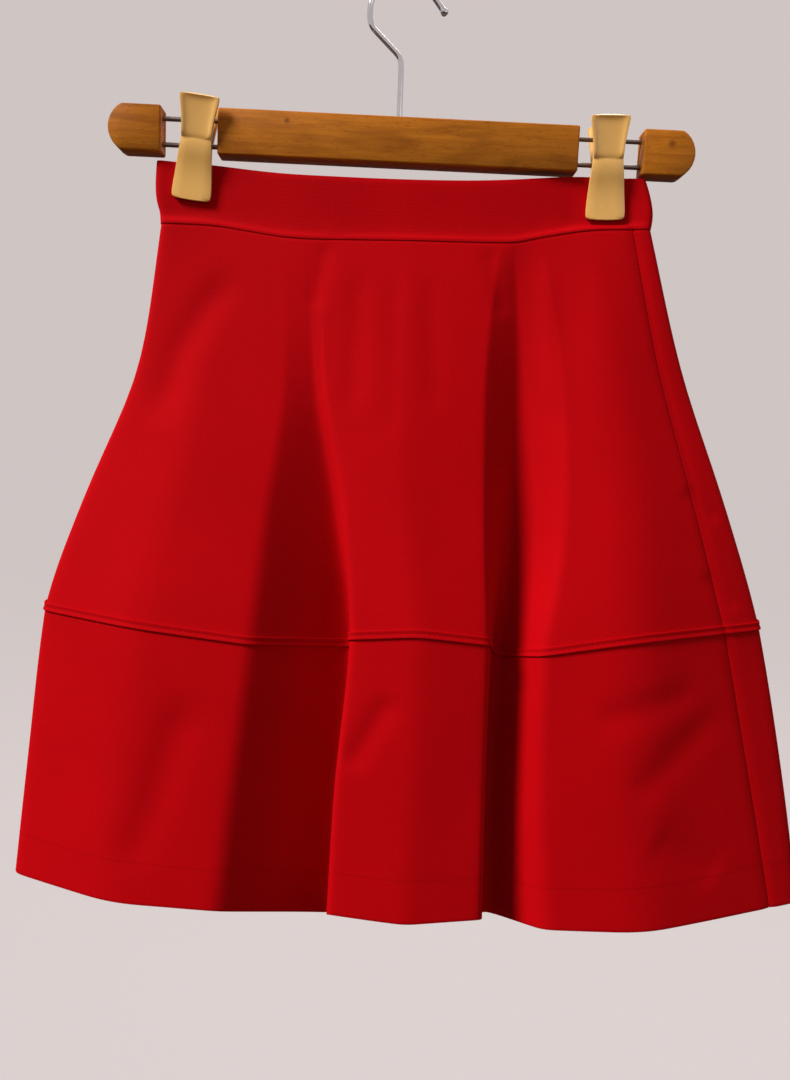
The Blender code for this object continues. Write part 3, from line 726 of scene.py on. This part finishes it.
def close_seam(piece, drop):
    """Lowers a piece's lower rim, so that no light shows through the seam under it."""
    mesh = piece.data
    rim = [face for face in mesh.polygons if face.normal.z < RIM_FACES_DOWN]
    for index in {i for face in rim for i in face.vertices}:
        mesh.vertices[index].co.z -= drop * MM
    mesh.update()


def hard_piece(node, material, slot, levels=0, rim=0.0):
    """A hard node's own form with its small turns shaded smooth, and rounder if asked."""
    bm = quads_from(node)
    piece = new_piece(node + "_finish", bm, material)
    if levels:
        smooth_out(piece, levels)
    if rim:
        round_rims(piece, rim)
    piece.data.shade_smooth()
    piece.data.set_sharp_from_angle(angle=EDGE_TURN)
    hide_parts(node)
    return piece


def spread_along(path, pitch):
    """Places along a path at an even pitch, each with the path's direction."""
    places = []
    spare = pitch / 2.0
    for start, end in zip(path, path[1:]):
        run = end - start
        length = run.length
        while spare < length:
            places.append((start + run * (spare / length), run.normalized()))
            spare += pitch
        spare -= length
    return places


def add_grains(bm, places, size, surface, lift):
    """Adds small rounded grains along a surface: each place has a point and a direction."""
    around, tall = GRAIN_SEGMENTS
    for point, along in places:
        place, normal, _, _ = surface.find_nearest(point)
        side = normal.cross(along).normalized()
        ahead = side.cross(normal)
        made = bmesh.ops.create_uvsphere(bm, u_segments=around, v_segments=tall, radius=0.5)
        shape = Matrix((ahead * size[0], side * size[1], normal * size[2])).transposed().to_4x4()
        turn = Matrix.Rotation(math.radians(90.0), 4, "Y")
        spot = Matrix.Translation(place + normal * lift)
        bmesh.ops.transform(bm, matrix=spot @ shape @ turn, verts=made["verts"])


def ridge_line(node, share):
    """A line along a seam ridge's outer face, at a share of its height above its foot."""
    bm = quads_from(node)
    tall = max(bm.edges, key=lambda e: abs(e.verts[0].co.z - e.verts[1].co.z))
    ring = edge_ring(tall)
    points = []
    for edge in ring:
        foot, top = sorted((vert.co for vert in edge.verts), key=lambda co: co.z)
        points.append(foot.lerp(top, share))
    gaps = [(points[i] - points[i - 1]).length for i in range(len(points))]
    ends = sorted(sorted(range(len(points)), key=lambda i: gaps[i])[:2])
    halves = (points[ends[0]:ends[1]], points[ends[1]:] + points[:ends[0]])
    bm.free()
    sign = -1.0 if node.startswith("front") else 1.0
    return max(halves, key=lambda half: sign * sum(point.y for point in half) / len(half))


class SKIRT_OT_panels(bpy.types.Operator):
    """Front and back panels, from the waistband down to the hem bands"""

    bl_idname = "skirt.panels"
    bl_label = "Panels"

    def execute(self, context):
        look = context.scene.skirt_look
        cloth = knitted_cloth("red double-knit jersey", look.cloth, look.wale)
        for node in ("front_panel", "back_panel"):
            cloth_piece(node, cloth, look)
        return {"FINISHED"}


class SKIRT_OT_hem_bands(bpy.types.Operator):
    """Front and back hem bands"""

    bl_idname = "skirt.hem_bands"
    bl_label = "Hem bands"

    def execute(self, context):
        look = context.scene.skirt_look
        name = "red double-knit jersey with a turned-up hem"
        cloth = knitted_cloth(name, look.cloth, look.wale, HEM_TURN)
        for node in ("front_hem_band", "back_hem_band"):
            cloth_piece(node, cloth, look, from_hem=True)
        return {"FINISHED"}


class SKIRT_OT_waistband(bpy.types.Operator):
    """The folded waistband"""

    bl_idname = "skirt.waistband"
    bl_label = "Waistband"

    def execute(self, context):
        look = context.scene.skirt_look
        cloth = bpy.data.materials["red double-knit jersey"]
        band = cloth_piece("waistband", cloth, look, rim=1.0)
        close_seam(band, SEAM_DROP)
        return {"FINISHED"}


class SKIRT_OT_seam_ridges(bpy.types.Operator):
    """The folded seam allowances above the hem bands, and the stitches that hold them"""

    bl_idname = "skirt.seam_ridges"
    bl_label = "Seam ridges and stitches"

    def execute(self, context):
        look = context.scene.skirt_look
        cloth = bpy.data.materials["red double-knit jersey"]
        thread = sewing_thread("spun polyester thread", look.thread)
        for node in ("front_seam_ridge", "back_seam_ridge"):
            ridge = cloth_piece(node, cloth, look, rim=0.3, grid=RIDGE_GRID)
            line = ridge_line(node, STITCH_SHARE)
            half_width, depth = STITCH_GROOVE
            groove(ridge, line, half_width * MM, depth * MM)
            surface = BVHTree.FromObject(ridge, context.evaluated_depsgraph_get())
            bm = bmesh.new()
            places = spread_along(line, STITCH_PITCH * MM)
            size = (STITCH_LENGTH * MM, STITCH_WIDTH * MM, STITCH_WIDTH * MM)
            add_grains(bm, places, size, surface, -STITCH_SINK * MM)
            stitches = new_piece(node.replace("seam_ridge", "stitches"), bm, thread)
        return {"FINISHED"}


class SKIRT_OT_side_zip(bpy.types.Operator):
    """The concealed zip inside the right seam: its tape, coil of teeth, slider and pull"""

    bl_idname = "skirt.side_zip"
    bl_label = "Side zip"

    def execute(self, context):
        look = context.scene.skirt_look
        weave = zip_tape_weave("woven zip tape", look.tape)
        enamel = moulded_plastic("enamelled zip metal", darker(look.tape, 1.2))
        bm = quads_from("side_zip")
        lay_out(bm)
        tape = new_piece("side_zip_tape", bm, weave)
        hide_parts("side_zip")
        points = sorted((vert.co.copy() for vert in tape.data.vertices), key=lambda co: -co.z)
        rows = [points[i:i + ZIP_ROW_POINTS] for i in range(0, len(points), ZIP_ROW_POINTS)]
        inside = Vector((0.0, ZIP_INSIDE * MM, 0.0))
        path = [sum(row, Vector()) / len(row) + inside for row in rows]
        surface = BVHTree.FromObject(tape, context.evaluated_depsgraph_get())
        bm = bmesh.new()
        size = tuple(value * MM for value in TEETH_SIZE)
        places = [(point, along.cross(Vector((0.0, 1.0, 0.0))).normalized())
                  for point, along in spread_along(path, TEETH_PITCH * MM)]
        add_grains(bm, places, size, surface, TEETH_LIFT * MM)
        new_piece("side_zip_teeth", bm, weave)
        hard_piece("zip_slider", enamel, "zip_metal")
        low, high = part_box("zip_slider")
        middle = (low + high) / 2.0
        bm = bmesh.new()
        bmesh.ops.create_cube(bm, size=1.0)
        bmesh.ops.scale(bm, vec=Vector(PULL_SIZE) * MM, verts=bm.verts)
        bmesh.ops.bevel(
            bm, geom=bm.edges[:], offset=PULL_ROUNDING * MM, segments=2, affect="EDGES",
            profile=0.5, material=-1,
        )
        drop = Vector((0.0, high.y + PULL_GAP * MM - middle.y, -PULL_SIZE[2] * MM * PULL_HANG))
        bmesh.ops.translate(bm, vec=middle + drop, verts=bm.verts)
        new_piece("zip_pull", bm, enamel)
        return {"FINISHED"}


class SKIRT_OT_hanger_wood(bpy.types.Operator):
    """The hanger's centre bar and its two end blocks"""

    bl_idname = "skirt.hanger_wood"
    bl_label = "Hanger wood"

    def execute(self, context):
        look = context.scene.hanger_look
        wood = varnished_wood("varnished beech", look.wood, look.grain)
        for node in ("hanger_bar", "hanger_end_left", "hanger_end_right"):
            hard_piece(node, wood, "hanger_wood")
        return {"FINISHED"}


class SKIRT_OT_hanger_wire(bpy.types.Operator):
    """The steel rods and the chrome hook"""

    bl_idname = "skirt.hanger_wire"
    bl_label = "Rods and hook"

    def execute(self, context):
        look = context.scene.hanger_look
        steel = drawn_steel("drawn steel rod", look.rod)
        for node in sorted(NODES):
            if node.startswith("rod_"):
                hard_piece(node, steel, "rod_steel")
        hard_piece("hook", chrome_plate("chrome plate", look.chrome), "hook_chrome", levels=1)
        return {"FINISHED"}


class SKIRT_OT_clips(bpy.types.Operator):
    """The two moulded clips, each with two levers and a core"""

    bl_idname = "skirt.clips"
    bl_label = "Clips"

    def execute(self, context):
        look = context.scene.hanger_look
        plastic = moulded_plastic("moulded polypropylene", look.plastic)
        for node in sorted(NODES):
            if node.startswith("clip_"):
                lever = not node.endswith("core")
                rounding = {"levels": 2, "rim": LEVER_RIM} if lever else {}
                hard_piece(node, plastic, "clip_plastic", **rounding)
        return {"FINISHED"}


def add_light(name, kind, place, power, colour, **settings):
    """A light that faces the skirt's middle."""
    light = bpy.data.lights.new(name, kind)
    light.energy = power
    light.color = colour
    for setting, value in settings.items():
        setattr(light, setting, value)
    lamp = bpy.data.objects.new(name, light)
    bpy.context.scene.collection.objects.link(lamp)
    lamp.location = place
    aim = Vector(SKIRT_MIDDLE) * MM - Vector(place)
    lamp.rotation_euler = aim.to_track_quat("-Z", "Y").to_euler()


def light_world(name, seen, glow, strength):
    """A plain world that is seen in one colour and lights the skirt softly with another."""
    world = bpy.data.worlds.new(name)
    world.use_nodes = True
    tree = world.node_tree
    lit = tree.nodes["Background"]
    lit.inputs["Color"].default_value = glow
    lit.inputs["Strength"].default_value = strength
    shown = add(tree, "Background", {"Color": seen, "Strength": 1.0})
    path = add(tree, "LightPath")
    seen_ways = (path.outputs["Is Camera Ray"], path.outputs["Is Glossy Ray"])
    direct = worked_out(tree, "MAXIMUM", *seen_ways)
    both = add(tree, "MixShader", {0: direct, 1: lit.outputs[0], 2: shown.outputs[0]})
    tree.links.new(both.outputs[0], tree.nodes["World Output"].inputs["Surface"])
    bpy.context.scene.world = world


def make_camera():
    """The camera, in front of the skirt and turned slightly."""
    ahead = Vector((
        math.sin(CAMERA_YAW) * math.cos(CAMERA_PITCH),
        math.cos(CAMERA_YAW) * math.cos(CAMERA_PITCH),
        -math.sin(CAMERA_PITCH),
    ))
    level = Vector((math.cos(CAMERA_YAW), -math.sin(CAMERA_YAW), 0.0))
    upright = level.cross(ahead)
    right = level * math.cos(CAMERA_ROLL) + upright * math.sin(CAMERA_ROLL)
    up = upright * math.cos(CAMERA_ROLL) - level * math.sin(CAMERA_ROLL)
    camera = bpy.data.cameras.new("camera")
    camera.sensor_fit = "VERTICAL"
    camera.sensor_height = SENSOR_HEIGHT
    camera.lens = LENS
    holder = bpy.data.objects.new("camera", camera)
    bpy.context.scene.collection.objects.link(holder)
    turn = Matrix((right, up, -ahead)).transposed().to_4x4()
    holder.matrix_world = Matrix.Translation(Vector(CAMERA_PLACE) * MM) @ turn
    bpy.context.scene.camera = holder


class SKIRT_OT_stage(bpy.types.Operator):
    """A pale floor, soft lights and the camera"""

    bl_idname = "skirt.stage"
    bl_label = "Stage"

    def execute(self, context):
        look = context.scene.stage_look
        bm = bmesh.new()
        bmesh.ops.create_circle(bm, cap_ends=True, segments=FLOOR_SIDES, radius=FLOOR_RADIUS)
        bmesh.ops.translate(bm, vec=Vector((0.0, 0.0, FLOOR_HEIGHT * MM)), verts=bm.verts)
        mesh = bpy.data.meshes.new("floor")
        bm.to_mesh(mesh)
        bm.free()
        mesh.materials.append(painted_floor("painted floor", look.floor, look.bounce))
        floor = bpy.data.objects.new("floor", mesh)
        context.scene.collection.objects.link(floor)
        add_light("key", "SUN", KEY_PLACE, look.key, KEY_COLOUR, angle=KEY_SPREAD)
        add_light("fill", "AREA", FILL_PLACE, look.fill, FILL_COLOUR, size=FILL_SIZE)
        add_light("back", "AREA", BACK_PLACE, look.back, BACK_COLOUR, size=BACK_SIZE)
        light_world("pale room", look.room, look.glow, look.ambient)
        context.scene.view_settings.view_transform = "Standard"
        make_camera()
        return {"FINISHED"}


OPERATORS = (
    SKIRT_OT_stage,
    SKIRT_OT_panels,
    SKIRT_OT_hem_bands,
    SKIRT_OT_waistband,
    SKIRT_OT_seam_ridges,
    SKIRT_OT_side_zip,
    SKIRT_OT_hanger_wood,
    SKIRT_OT_hanger_wire,
    SKIRT_OT_clips,
)


class SKIRT_PT_sidebar(bpy.types.Panel):
    """Lists the pieces and what may be changed"""

    bl_label = "Skirt on a clip hanger"
    bl_idname = "SKIRT_PT_sidebar"
    bl_space_type = "VIEW_3D"
    bl_region_type = "UI"
    bl_category = "Skirt"

    def draw(self, context):
        for look in (context.scene.skirt_look, context.scene.hanger_look, context.scene.stage_look):
            column = self.layout.column()
            for name in look.__annotations__:
                column.prop(look, name)
        for operator in OPERATORS:
            self.layout.operator(operator.bl_idname)


LOOKS = (("skirt_look", SkirtLook), ("hanger_look", HangerLook), ("stage_look", StageLook))


def register():
    """Registers the looks, the operators and the panel."""
    for name, look in LOOKS:
        bpy.utils.register_class(look)
        setattr(bpy.types.Scene, name, PointerProperty(type=look))
    for kind in (*OPERATORS, SKIRT_PT_sidebar):
        bpy.utils.register_class(kind)


def unregister():
    """Removes what register added."""
    for kind in (SKIRT_PT_sidebar, *reversed(OPERATORS)):
        bpy.utils.unregister_class(kind)
    for name, look in reversed(LOOKS):
        delattr(bpy.types.Scene, name)
        bpy.utils.unregister_class(look)


def main():
    """Makes every piece in order."""
    register()
    for operator in OPERATORS:
        group, name = operator.bl_idname.split(".")
        getattr(getattr(bpy.ops, group), name)()


if __name__ == "__main__":
    main()
